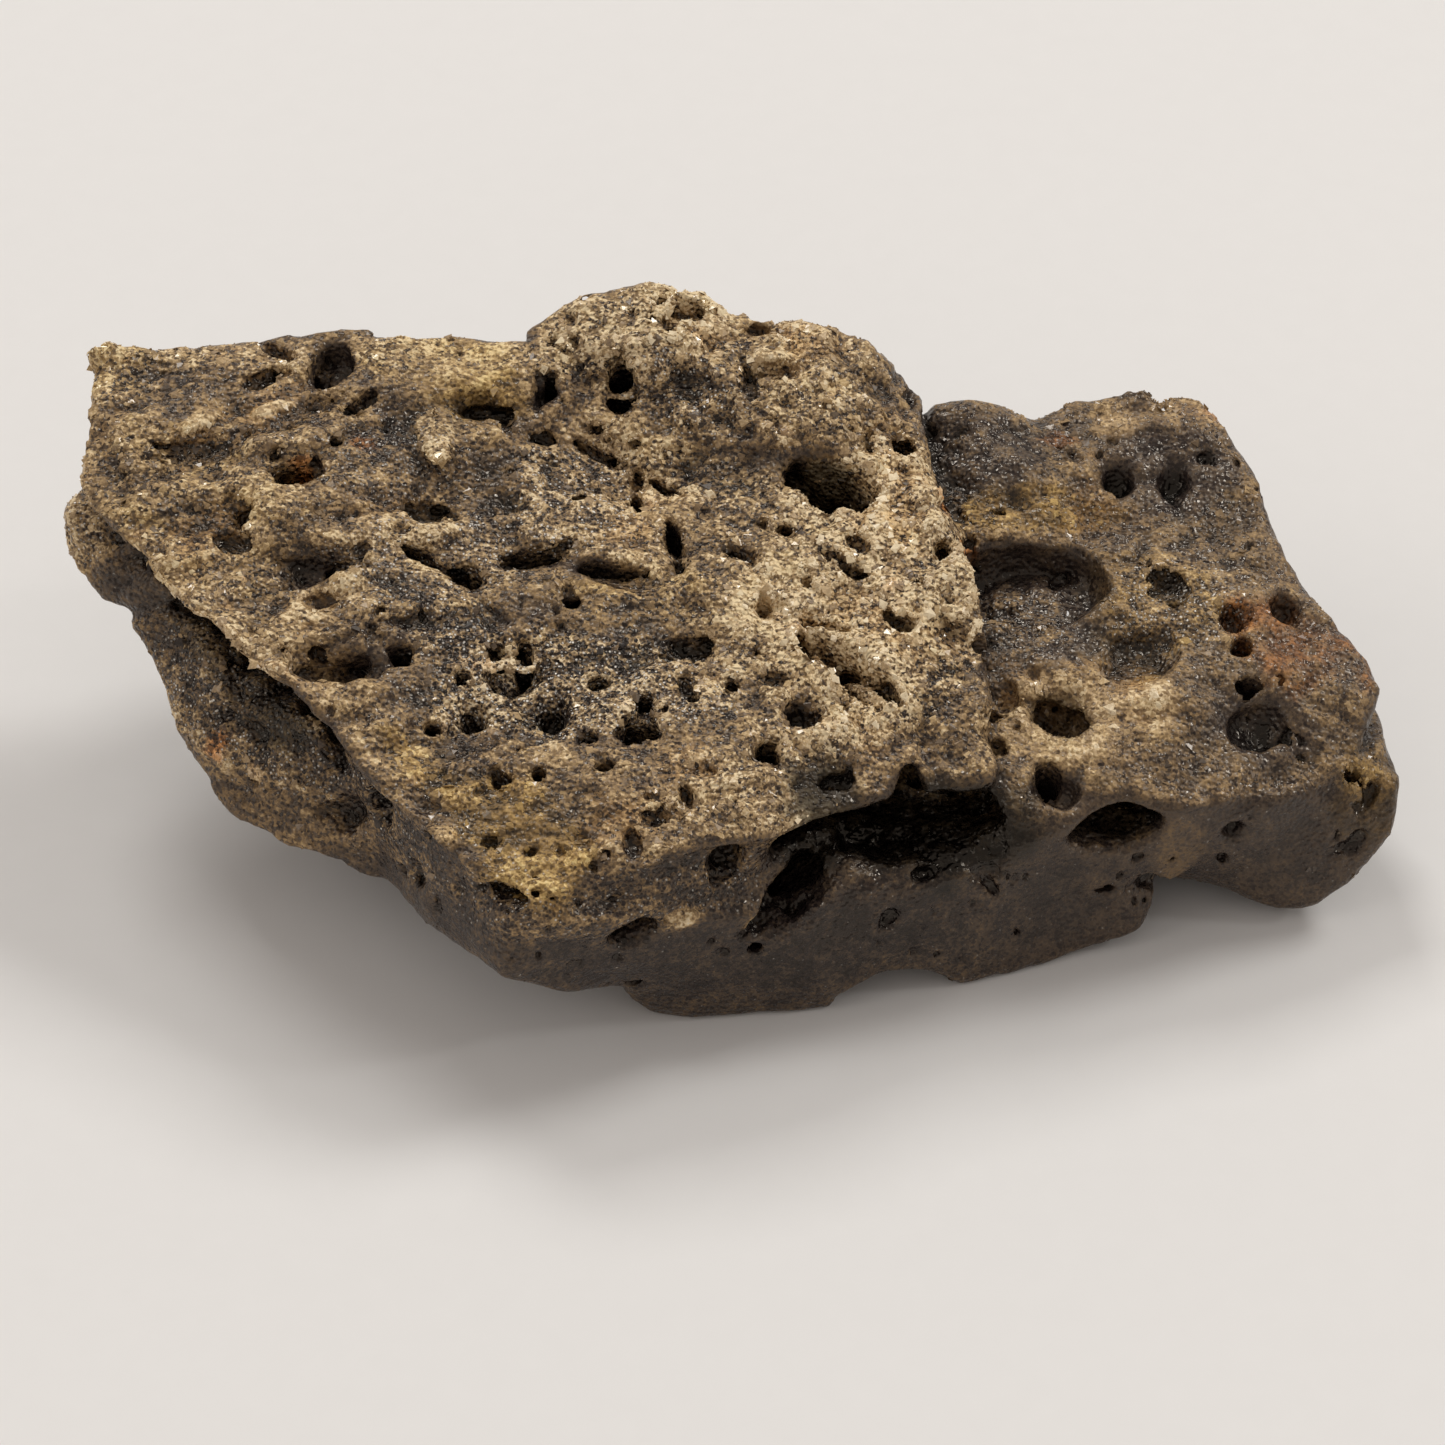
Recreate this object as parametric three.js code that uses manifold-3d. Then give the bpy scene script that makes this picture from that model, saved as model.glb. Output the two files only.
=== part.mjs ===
// Impact glass: one fragment of bubbly, slag-like natural glass, melted and thrown out by a meteorite
// impact. It is a single solid. A flow crust with a low hump covers a thicker block, a second block steps
// down at the right, and a lower layer stands out from under the crust at the left. Burst gas bubbles pit
// every side.
// Units are millimetres, +Z is up, +X runs along the fragment and the front faces -Y.
import * as THREE from "three";
import { ConvexGeometry } from "three/addons/geometries/ConvexGeometry.js";
import { TessellateModifier } from "three/addons/modifiers/TessellateModifier.js";
import { ImprovedNoise } from "three/addons/math/ImprovedNoise.js";
import { mergeVertices } from "three/addons/utils/BufferGeometryUtils.js";
import Module from "manifold-3d";

const wasm = await Module();
wasm.setup();

// Surface relief: each octave is a wavelength and the furthest it moves a point, in mm.
const RELIEF = [
  { wavelength: 6.0, reach: 0.45 },
  { wavelength: 2.9, reach: 0.4 },
  { wavelength: 1.6, reach: 0.2 },
];
const FACET_LENGTH = 3.0; // longest facet edge of the broken faces
const MOST_SPLITS = 12; // rounds of edge splitting that reach the facet length everywhere
const WELD = 1e-4; // points closer than this are one
const OCTAVE_STEP = 17; // offset between one octave's noise and the next
const STAGGER = [31.4, 47.2, 63.8]; // offsets that keep the noise of the three directions apart
const GROUND_BLOCK = [80, 60, 20]; // wider than the fragment, with its top at the ground
const OUTSIDE = 60; // further out than any point of the fragment
const SUNK = 0.12; // share of a hollow's depth that its centre lies below the surface
const BROAD = 2.6; // hollows longer than this have the finer facets
const BROAD_FACETS = [10, 6]; // round and from end to end
const SMALL_FACETS = [8, 4];
const GLASS_COLOUR = 0x6b5f48;

// The fragment's blocks, each the hull of its own corners.
const BLOCKS = {
  // the flow crust: a slab thinning to the left, its top falling gently to the front
  crust: [
    [-21.5, 9.4, 12.4], [-13.2, 10.1, 12.8], [-7.3, 9.7, 12.0], [5.2, 8.6, 11.9],
    [6.9, 3.2, 10.9], [8.0, -0.8, 9.7], [8.4, -3.7, 8.7], [8.6, -6.3, 7.6],
    [5.1, -7.4, 7.6], [0.8, -8.3, 7.5], [-1.0, -8.5, 7.5], [-7.0, -11.7, 7.6],
    [-9.5, -9.0, 8.4], [-11.2, -6.4, 9.0], [-14.2, -4.4, 9.6], [-17.1, -1.9, 10.2],
    [-21.6, 3.9, 10.8], [-21.7, 5.3, 11.2], [-21.6, 8.4, 12.0],
    [-20.4, 5.0, 9.6], [-20.0, 9.2, 9.8], [-15.5, -2.2, 8.6], [-10.6, -6.6, 7.4],
    [7.0, 8.0, 8.0], [7.6, -5.0, 6.0],
  ],
  // the body under the crust, with the leaning column of its front left corner
  core: [
    [-7.2, -12.4, 4.4], [-7.0, -11.7, 7.0], [-6.2, -11.2, 4.0], [-8.4, -11.0, 3.9],
    [-9.7, -8.8, 3.4], [-10.3, -7.9, 8.0], [-13.0, -4.6, 8.0], [-12.0, -5.6, 3.2],
    [-4.2, -10.2, 2.8], [-14.6, 3.0, 8.6], [-15.0, 9.2, 9.0], [-12.0, 3.0, 2.6],
    [-11.0, 9.0, 4.0], [-4.0, 8.6, 0.4], [-7.2, -4.0, 0.7], [-3.0, -9.6, 1.0],
    [6.0, 8.8, 0.6], [8.0, 9.2, 3.0], [7.6, 9.0, 8.4], [7.0, -4.0, 6.0], [4.0, -7.2, 5.6],
    [-14.0, 10.0, 9.6], [-11.0, 10.3, 6.4], [-3.0, 11.2, 8.4], [-5.0, 10.9, 11.4],
    [2.0, 10.8, 7.0], [1.0, 10.5, 11.2], [3.0, 9.8, 2.6],
  ],
  // the heart that the other blocks share
  heart: [
    [-12.0, -3.0, 5.0], [-13.0, 7.0, 7.0], [-14.0, 2.0, 9.4], [-10.0, -6.0, 7.8],
    [6.6, -5.0, 7.4], [6.6, 7.4, 9.8], [12.0, -4.0, 5.4], [12.0, 7.0, 8.2],
    [12.0, -4.0, 1.4], [12.0, 6.0, 2.0], [-6.0, -6.0, 1.8], [-8.0, 6.0, 2.4],
  ],
  // the front toe that the fragment stands on
  toe: [
    [-3.2, -10.0, 0.6], [-2.4, -9.7, -0.4], [1.2, -9.7, -0.4], [3.6, -9.0, -0.3],
    [5.8, -8.2, 0.4], [7.7, -8.5, -0.3], [10.6, -7.3, 0.3], [13.2, -6.6, 0.5],
    [-3.6, -10.0, 2.2], [-2.6, -10.6, 5.6], [-1.6, -9.9, 5.8], [0.2, -8.9, 6.0],
    [4.0, -8.2, 5.0], [8.8, -7.8, 4.8], [12.0, -6.6, 5.0], [13.9, -6.1, 1.6],
    [-5.6, -2.4, -0.2], [-4.4, 5.6, -0.2], [8.0, 8.0, -0.4], [14.0, 2.0, -0.3],
    [-4.0, 4.0, 5.0], [12.0, 2.0, 5.0],
  ],
  // the bevel that runs from the crust's front edge down to the front face
  bevel: [
    [-6.8, -11.7, 7.3], [-4.5, -10.4, 7.4], [-1.0, -8.4, 7.4], [1.4, -8.1, 7.2],
    [-6.6, -12.0, 6.4], [-3.8, -11.2, 6.0], [-2.5, -10.8, 5.6], [-0.1, -9.3, 6.0],
    [1.6, -8.3, 6.4], [-5.4, -11.2, 4.2], [-3.8, -10.2, 2.6], [0.8, -9.0, 2.0],
    [-6.0, -6.0, 4.0], [1.0, -6.0, 4.0],
  ],
  // the pointed tip of the layer standing out below the crust at the left
  left_tip: [
    [-22.2, 4.1, 8.8], [-21.6, 3.3, 8.0], [-21.0, 2.4, 7.4], [-21.4, 5.0, 10.4],
    [-20.2, 3.8, 10.1], [-18.4, 0.8, 8.4], [-18.8, 1.6, 6.8], [-20.6, 7.6, 9.6],
    [-18.0, 8.0, 8.0], [-15.0, 4.0, 5.4], [-14.0, 0.0, 6.0],
  ],
  // the rest of that layer, down to the front corner
  left_layer: [
    [-19.9, 1.7, 6.9], [-19.2, 0.2, 6.1], [-18.5, -1.1, 5.4], [-17.6, -3.3, 4.3],
    [-16.9, -4.4, 3.7], [-14.7, -5.4, 3.4], [-11.6, -6.8, 3.3], [-18.6, 0.8, 8.2],
    [-16.8, -1.6, 7.4], [-14.6, -3.6, 6.6], [-12.0, -5.6, 6.2], [-16.0, 6.0, 6.8],
    [-12.0, 4.0, 3.6], [-9.0, -4.0, 1.6],
  ],
  // the low hump along the back of the crust
  hump: [
    [-7.2, 10.3, 12.3], [-5.6, 10.9, 13.3], [-4.9, 11.2, 13.8], [-4.0, 11.3, 14.1],
    [-2.6, 11.2, 14.2], [-0.8, 10.4, 13.7], [0.6, 9.9, 13.1], [-7.0, 9.2, 12.0],
    [-5.9, 7.6, 11.6], [-3.6, 7.2, 11.6], [-1.4, 4.9, 11.1], [1.0, 4.6, 11.2],
    [-3.1, 8.6, 13.5], [0.0, 6.6, 12.9], [-6.2, 10.6, 11.2], [-2.6, 11.4, 11.6],
    [1.0, 10.5, 10.8], [1.4, 7.6, 9.0], [-3.0, 7.0, 9.0],
  ],
  // the hump's lower right end
  hump_end: [
    [0.6, 9.7, 13.0], [2.7, 9.9, 13.2], [3.7, 9.7, 13.1], [4.6, 9.0, 12.6],
    [5.3, 8.4, 12.0], [6.2, 8.4, 10.8], [6.4, 8.0, 9.6], [0.0, 6.4, 12.9],
    [3.6, 6.1, 12.3], [5.4, 5.2, 11.6], [4.9, 4.2, 11.1], [1.3, 4.2, 11.2],
    [6.8, 4.0, 10.8], [1.0, 10.5, 10.4], [5.0, 9.6, 9.0], [0.0, 7.4, 9.0], [3.0, 7.0, 9.0],
  ],
  // the block that steps down at the right
  right_block: [
    [5.0, 8.8, 9.0], [7.0, 8.8, 10.2], [7.9, 8.9, 10.3], [13.4, 9.5, 9.8],
    [15.9, 9.6, 9.9], [16.6, 8.8, 9.6], [17.0, 6.8, 9.2], [18.0, 4.5, 8.8],
    [19.2, 2.0, 8.1], [20.6, 0.5, 7.3], [21.4, -1.1, 6.3], [20.9, -2.2, 5.7],
    [19.7, -3.8, 5.4], [15.4, -5.6, 5.7], [11.4, -6.3, 6.0], [9.2, -7.5, 5.4],
    [8.9, -6.5, 6.8], [5.0, 4.0, 8.2], [5.0, -5.0, 6.2], [9.0, -7.8, 3.0],
    [14.2, -6.0, 2.0], [6.0, 8.2, 1.6], [9.0, 9.6, 5.0], [14.4, 8.6, 2.4], [16.4, 7.8, 4.4],
    [13.6, 10.0, 6.4],
    [19.0, 2.6, 4.2], [11.0, 2.0, 0.8], [18.0, -1.0, 1.4],
  ],
  // the rounded lobe low at the right end
  right_lobe: [
    [21.4, -2.4, 5.4], [22.3, -3.3, 4.6], [22.0, -4.4, 3.3], [20.9, -5.1, 2.1],
    [19.3, -5.5, 1.0], [18.0, -5.3, 0.6], [16.6, -5.1, 0.8], [15.6, -5.4, 2.0],
    [15.4, -5.7, 4.4], [17.0, -5.4, 5.6], [19.4, -4.0, 5.6], [21.4, 0.4, 4.2],
    [20.4, 1.6, 3.0], [16.0, 0.0, -0.3], [18.0, -2.6, -0.4], [12.0, -4.0, 0.4],
  ],
};

// Broad swells and dents of the top: centre, half length, half width, rise and turn in degrees.
const SWELLS = [
  [-4.4, 4.8, 5.5, 1.6, -0.8, -30], // the foot of the hump
  [-7.0, -4.6, 6.0, 2.6, -0.6, 8], // the glassy middle
  [-8.0, 3.0, 2.6, 2.2, -0.5, 0], // the smooth patch
  [5.9, 8.2, 1.8, 1.1, -0.7, -50], // the hump's right flank
  [-14.4, 3.9, 2.4, 1.7, 0.4, 8], // the rim round the bubble that holds sand
  [-12.0, 1.4, 5.0, 0.8, 0.35, -8], // the upper ledge at the left
  [-12.4, -1.8, 4.0, 0.8, 0.35, -8], // the lower ledge at the left
  [5.4, -1.6, 2.2, 4.0, 0.4, 20], // the crust's thick right edge
  [10.4, 9.4, 2.4, 2.2, -1.1, 0], // the saddle behind the right block
];
const SWELL_FADE = [5, 8.5]; // heights between which the swells fade in

// Broad dents of the underside, in the same terms, so that it stands on separate worn patches.
const DENTS = [
  [1.5, -3.0, 5.0, 3.2, 2.4, 25], [9.5, -2.0, 4.0, 2.8, 2.2, -35],
  [-3.0, 3.0, 4.0, 2.6, 1.8, 10], [7.5, 5.5, 5.0, 2.4, 2.0, -8],
  [14.5, -2.5, 2.8, 2.8, 1.6, 0],
];
const DENT_FADE = [0.5, 3.5]; // heights between which the dents fade out

// The sides a hollow can open on: the way out, and the two directions its place is measured along.
const SIDES = {
  top: { out: [0, 0, 1], across: [1, 0, 0], up: [0, 1, 0] },
  under: { out: [0, 0, -1], across: [1, 0, 0], up: [0, 1, 0] },
  front: { out: [0, -1, 0], across: [1, 0, 0], up: [0, 0, 1] },
  back: { out: [0, 1, 0], across: [1, 0, 0], up: [0, 0, 1] },
  left: { out: [-1, 0, 0], across: [0, 1, 0], up: [0, 0, 1] },
  right: { out: [1, 0, 0], across: [0, 1, 0], up: [0, 0, 1] },
};

// Hollows and burst bubbles. Each row is the side, the place across and up that side, the opening's length
// and width, the depth, and the turn of the length away from the across direction in degrees.
const HOLLOWS = [
  // creases and the crack in the crust
  ["top", -6.4, 1.1, 3.0, 0.8, 0.8, 4], ["top", -3.8, 0.7, 3.6, 0.8, 0.7, -8],
  ["top", 4.1, -3.3, 4.8, 0.9, 1.5, -44],
  // ledges at the left: the crust overhangs two long hollows
  ["top", -13.4, 0.5, 3.2, 1.1, 0.8, 8], ["top", -12.6, -3.2, 3.8, 1.3, 1.0, -6],
  // burst bubbles in the crust
  ["top", -13.4, 8.6, 1.8, 2.0, 1.3, 0], ["top", -14.4, 3.9, 2.1, 1.3, 1.4, 8],
  ["top", -15.9, 2.3, 0.9, 1.0, 0.8, 0], ["top", -8.4, 6.9, 1.7, 1.0, 0.7, 0],
  ["top", -6.2, 7.5, 1.1, 1.0, 0.9, 0], ["top", -3.7, 7.4, 1.3, 1.5, 1.4, 0],
  ["top", -1.4, 7.2, 1.7, 1.4, 0.6, 0], ["top", 0.8, 7.5, 0.9, 1.8, 0.7, 30],
  ["top", 3.3, 4.1, 3.6, 1.7, 2.2, -18], ["top", -1.9, 2.0, 0.7, 1.2, 0.9, 30],
  ["top", 0.2, 1.2, 1.8, 0.9, 0.7, -12], ["top", 1.0, -0.8, 0.9, 0.8, 0.8, 0],
  ["top", -8.8, 0.5, 1.9, 1.0, 1.0, -20], ["top", -7.1, -3.1, 2.0, 1.5, 1.0, 10],
  ["top", -8.4, -4.6, 1.1, 1.1, 0.9, 0], ["top", -5.8, -4.5, 1.2, 1.2, 0.9, 0],
  ["top", -10.7, -2.8, 1.3, 0.8, 0.9, 0], ["top", -2.8, -4.5, 1.0, 0.7, 0.7, 0],
  ["top", -3.0, -5.4, 2.1, 1.1, 1.2, -8], ["top", -4.6, -5.6, 1.1, 0.9, 0.8, 0],
  ["top", 1.1, -6.1, 1.2, 0.8, 1.0, 15], ["top", 2.2, -4.6, 1.6, 1.2, 0.9, -20],
  ["top", -0.9, -7.0, 1.1, 0.8, 0.7, 0],
  // the right block: the hollow under its shelf, the rimmed pit, the dark pits and the end of the ridge
  ["top", 9.8, 1.9, 6.0, 3.4, 1.5, 4], ["top", 10.7, -3.1, 2.3, 2.0, 0.9, -10],
  ["top", 9.0, -2.4, 1.1, 1.0, 0.6, 0], ["top", 13.1, 6.2, 1.3, 1.5, 0.8, 0],
  ["top", 15.0, 6.3, 1.3, 1.6, 0.8, 0], ["top", 16.6, 0.9, 1.1, 1.2, 0.9, 0],
  ["top", 18.4, 1.5, 1.2, 1.4, 0.9, 0], ["top", 17.3, -2.9, 2.4, 1.9, 0.9, 10],
  ["top", 10.6, -5.8, 1.8, 1.3, 1.0, 0], ["top", 13.4, -1.0, 3.4, 2.2, 0.6, 30],
  // the front: the broad slot under the lip in two lobes with its notch, then the long bubbles
  ["front", 5.8, 6.1, 6.6, 2.5, 4.2, 0], ["front", 2.6, 6.5, 3.6, 1.5, 3.0, 8],
  ["front", 5.7, 7.3, 0.9, 1.3, 1.6, 0], ["front", 12.5, 5.2, 3.5, 1.6, 2.4, 0],
  ["front", 1.9, 5.0, 3.5, 1.4, 2.2, 32], ["front", -3.2, 5.2, 1.9, 1.2, 1.5, 10],
  ["front", -0.2, 6.8, 1.5, 1.2, 1.2, 40], ["front", 16.4, 4.3, 0.9, 0.9, 0.8, 0],
  ["front", 5.4, 0.2, 4.4, 1.7, 1.6, -6],
  // the left: the channel under the crust's edge and the bubbles in the broken face
  ["left", -1.2, 7.8, 6.4, 1.6, 1.3, 38], ["left", -6.6, 6.9, 1.0, 1.8, 0.9, 0],
  ["left", -5.6, 5.4, 1.0, 1.5, 0.8, 0], ["left", -8.6, 5.6, 0.9, 1.2, 0.7, 0],
  ["left", 6.6, 8.6, 1.3, 1.0, 0.7, 0],
];

// Seeded bubbles on the sides that face away: the side, the reach of their places across and up, and
// their number.
const SCATTER = [
  ["back", [-17, 15], [2.5, 11], 9],
  ["under", [-12, 17], [-6.5, 7], 5],
  ["right", [2, 8], [2.5, 6.0], 3],
];
const BUBBLE_LENGTH = [0.9, 2.4];
const BUBBLE_WIDTH = [0.6, 1]; // share of the length
const BUBBLE_DEPTH = [0.5, 0.9]; // share of the width
const BUBBLE_TURN = [-40, 40]; // degrees
const FIRST_SEED = 4242;

// A merged, closed geometry as a solid.
function solid(geometry) {
  const bare = geometry.clone();
  bare.deleteAttribute("normal");
  bare.deleteAttribute("uv");
  const merged = mergeVertices(bare, WELD);
  return new wasm.Manifold(new wasm.Mesh({
    numProp: 3,
    vertProperties: new Float32Array(merged.attributes.position.array),
    triVerts: new Uint32Array(merged.index.array),
  }));
}

// A solid's surface as a geometry.
function surface(body) {
  const mesh = body.getMesh();
  const geometry = new THREE.BufferGeometry();
  geometry.setAttribute("position", new THREE.BufferAttribute(mesh.vertProperties, 3));
  geometry.setIndex(new THREE.BufferAttribute(mesh.triVerts, 1));
  return geometry;
}

// How far a table of swells lifts a point.
function lift(point, swells) {
  let rise = 0;
  for (const [x, y, long, wide, height, turn] of swells) {
    const place = new THREE.Vector2(point.x - x, point.y - y);
    place.rotateAround(new THREE.Vector2(), THREE.MathUtils.degToRad(-turn));
    rise += height * Math.exp(-2 * ((place.x / long) ** 2 + (place.y / wide) ** 2));
  }
  return rise;
}

// The same surface in facets no longer than FACET_LENGTH, each point moved by the swells and smooth noise.
const noise = new ImprovedNoise();
function roughen(geometry) {
  const split = new TessellateModifier(FACET_LENGTH, MOST_SPLITS).modify(geometry.toNonIndexed());
  const rough = mergeVertices(split, WELD);
  const spots = rough.attributes.position;
  const point = new THREE.Vector3();
  const shift = new THREE.Vector3();
  for (let i = 0; i < spots.count; i++) {
    point.fromBufferAttribute(spots, i);
    const high = THREE.MathUtils.smoothstep(point.z, ...SWELL_FADE);
    const low = 1 - THREE.MathUtils.smoothstep(point.z, ...DENT_FADE);
    shift.set(0, 0, high * lift(point, SWELLS) + low * lift(point, DENTS));
    RELIEF.forEach(({ wavelength, reach }, octave) => {
      const [x, y, z] = point.toArray().map((c) => c / wavelength + OCTAVE_STEP * octave);
      shift.x += reach * noise.noise(x, y, z + STAGGER[0]);
      shift.y += reach * noise.noise(x + STAGGER[1], y, z);
      shift.z += reach * noise.noise(x, y + STAGGER[2], z);
    });
    spots.setXYZ(i, ...point.add(shift).toArray());
  }
  return rough;
}

let body = null;
for (const corners of Object.values(BLOCKS)) {
  const block = solid(new ConvexGeometry(corners.map((c) => new THREE.Vector3(...c))));
  body = body ? body.add(block) : block;
}
body = solid(roughen(surface(body)));

// The ground plane cuts the lowest points flat.
const ground = new THREE.BoxGeometry(...GROUND_BLOCK).translate(0, 0, -GROUND_BLOCK[2] / 2);
body = body.subtract(solid(ground));

// Where a line coming in from a side first meets the surface.
const skin = new THREE.Mesh(surface(body));
const caster = new THREE.Raycaster();
function meet(side, across, up) {
  const out = new THREE.Vector3(...side.out);
  const start = new THREE.Vector3(...side.across).multiplyScalar(across);
  start.addScaledVector(new THREE.Vector3(...side.up), up).addScaledVector(out, OUTSIDE);
  caster.set(start, out.clone().negate());
  return caster.intersectObject(skin)[0]?.point;
}

// A rounded tool with its centre just under the surface, longest along its turned across direction.
function hollow([name, across, up, length, width, depth, turn]) {
  const side = SIDES[name];
  const place = meet(side, across, up);
  if (!place) return null;
  const out = new THREE.Vector3(...side.out);
  const angle = THREE.MathUtils.degToRad(turn);
  const long = new THREE.Vector3(...side.across).multiplyScalar(Math.cos(angle));
  long.addScaledVector(new THREE.Vector3(...side.up), Math.sin(angle));
  const short = new THREE.Vector3().crossVectors(out, long);
  const frame = new THREE.Matrix4().makeBasis(long, short, out);
  frame.setPosition(place.addScaledVector(out, -SUNK * depth));
  const facets = length > BROAD ? BROAD_FACETS : SMALL_FACETS;
  const ball = new THREE.SphereGeometry(1, ...facets).rotateX(Math.PI / 2);
  ball.rotateZ(across + up); // each hollow's facets start at their own angle
  ball.scale(length / 2, width / 2, depth);
  return solid(ball.applyMatrix4(frame));
}

// A repeatable random number between two limits.
const MULTIPLIER = 16807;
const MODULUS = 2147483647;
let seed = FIRST_SEED;
function between([low, high]) {
  seed = (seed * MULTIPLIER) % MODULUS;
  return low + (high - low) * (seed / MODULUS);
}

// The rows of the seeded bubbles on one side.
function scatter([side, across, up, count]) {
  return Array.from({ length: count }, () => {
    const length = between(BUBBLE_LENGTH);
    const width = length * between(BUBBLE_WIDTH);
    const place = [between(across), between(up)];
    const depth = width * between(BUBBLE_DEPTH);
    return [side, ...place, length, width, depth, between(BUBBLE_TURN)];
  });
}

for (const row of [...HOLLOWS, ...SCATTER.flatMap(scatter)]) {
  const tool = hollow(row);
  if (tool) body = body.subtract(tool);
}

// The origin moves to the middle of the base.
const result = surface(body);
result.computeBoundingBox();
const middle = result.boundingBox.getCenter(new THREE.Vector3());
result.translate(-middle.x, -middle.y, -result.boundingBox.min.z);

const material = new THREE.MeshStandardMaterial({ color: GLASS_COLOUR, roughness: 0.6, metalness: 0 });
const fragment = new THREE.Mesh(result, material);
fragment.name = "impact_glass";
const group = new THREE.Group();
group.add(fragment);
export default group;
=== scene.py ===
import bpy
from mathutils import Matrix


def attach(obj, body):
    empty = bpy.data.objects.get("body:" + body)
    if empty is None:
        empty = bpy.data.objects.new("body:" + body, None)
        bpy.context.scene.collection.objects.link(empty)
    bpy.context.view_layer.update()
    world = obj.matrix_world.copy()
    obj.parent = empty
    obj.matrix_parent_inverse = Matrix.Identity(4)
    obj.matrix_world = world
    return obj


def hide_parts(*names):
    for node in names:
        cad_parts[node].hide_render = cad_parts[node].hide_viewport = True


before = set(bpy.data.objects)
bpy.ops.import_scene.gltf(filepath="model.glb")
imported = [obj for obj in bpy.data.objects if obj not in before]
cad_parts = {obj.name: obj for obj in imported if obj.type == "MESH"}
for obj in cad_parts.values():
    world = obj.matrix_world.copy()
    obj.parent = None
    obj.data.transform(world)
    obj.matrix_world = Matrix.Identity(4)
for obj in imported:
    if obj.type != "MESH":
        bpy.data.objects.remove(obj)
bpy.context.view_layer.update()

import math

import bpy
import numpy as np
import openvdb
from mathutils import Vector

scene = bpy.context.scene
scene.view_settings.view_transform = "Standard"

# ---------------------------------------------------------------------------------------------------------
# Camera: a close-up from the front, looking down at 45 degrees, with a long lens. The whole fragment is in
# view, with bare floor all round it.
MM = 0.001
CAMERA_TARGET = Vector((-0.141, -0.546, 4.85)) * MM
CAMERA_DISTANCE = 170 * MM
CAMERA_ELEVATION = math.radians(45)
CAMERA_LENS = 127.06
CAMERA_SENSOR = 36
CAMERA_REACH = (5 * MM, 50)  # nearest and farthest place that shows

camera = bpy.data.objects.new("camera", bpy.data.cameras.new("camera"))
scene.collection.objects.link(camera)
back = Vector((0, -math.cos(CAMERA_ELEVATION), math.sin(CAMERA_ELEVATION)))
camera.location = CAMERA_TARGET + CAMERA_DISTANCE * back
camera.rotation_euler = (-back).to_track_quat("-Z", "Y").to_euler()
camera.data.sensor_width = CAMERA_SENSOR
camera.data.lens = CAMERA_LENS
camera.data.clip_start, camera.data.clip_end = CAMERA_REACH
scene.camera = camera

# ---------------------------------------------------------------------------------------------------------
# Light: soft lamps on the right, behind on the right, behind on the left and on the left, and even light from
# all round.
LAMP_DISTANCE = 1.5
DAYLIGHT = (1.0, 1.0, 0.985)
WARM = (1.0, 0.97, 0.94)
ROOM_COLOUR = (1.0, 0.93, 0.88, 1)
ROOM_STRENGTH = 0.385


def lamp(name, towards, size, power, colour):
    """A square lamp that stands towards that side and faces the fragment."""
    light = bpy.data.lights.new(name, "AREA")
    light.size = size
    light.energy = power
    light.color = colour
    holder = bpy.data.objects.new(name, light)
    holder.location = Vector(towards).normalized() * LAMP_DISTANCE
    holder.rotation_euler = (-holder.location).to_track_quat("-Z", "Y").to_euler()
    scene.collection.objects.link(holder)


lamp("right_lamp", (0.82, 0.0, 0.57), 0.15, 1.4, DAYLIGHT)
lamp("right_back_lamp", (0.58, 0.44, 0.69), 0.40, 8.1, DAYLIGHT)
lamp("left_back_lamp", (-0.24, 0.64, 0.73), 0.45, 7.8, DAYLIGHT)
lamp("left_lamp", (-0.80, -0.15, 0.58), 0.80, 2.4, WARM)

world = bpy.data.worlds.new("soft_room")
world.use_nodes = True
world.node_tree.nodes["Background"].inputs["Color"].default_value = ROOM_COLOUR
world.node_tree.nodes["Background"].inputs["Strength"].default_value = ROOM_STRENGTH
scene.world = world

# ---------------------------------------------------------------------------------------------------------
# Floor: the plain pale board that the fragment lies on, stage and not part of the object. It is matt, with a
# very faint mottling.
FLOOR_REACH = 2.0
FLOOR_COLOURS = (0.79, 0.77, 0.748), (0.81, 0.79, 0.768)
FLOOR_MOTTLING = 900
FLOOR_ROUGHNESS = 0.8


def shader(name):
    """A material and its nodes."""
    material = bpy.data.materials.new(name)
    material.use_nodes = True
    return material, material.node_tree


def put(tree, kind, links=(), **settings):
    """A node with its settings. A link goes from an output socket, or a plain value, to a named input."""
    node = tree.nodes.new(kind)
    for key, value in settings.items():
        setattr(node, key, value)
    for socket, value in dict(links).items():
        target = node.inputs[socket]
        if isinstance(value, bpy.types.NodeSocket):
            tree.links.new(value, target)
        else:
            target.default_value = value
    return node


def mix(factor, *colours, kind="MIX"):
    """Two colours mixed, each a socket or a plain colour."""
    a, b = (colour if isinstance(colour, bpy.types.NodeSocket) else (*colour, 1) for colour in colours)
    return put(tree, "ShaderNodeMix", {"Factor": factor, "A": a, "B": b}, data_type="RGBA",
               blend_type=kind).outputs["Result"]


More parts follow.
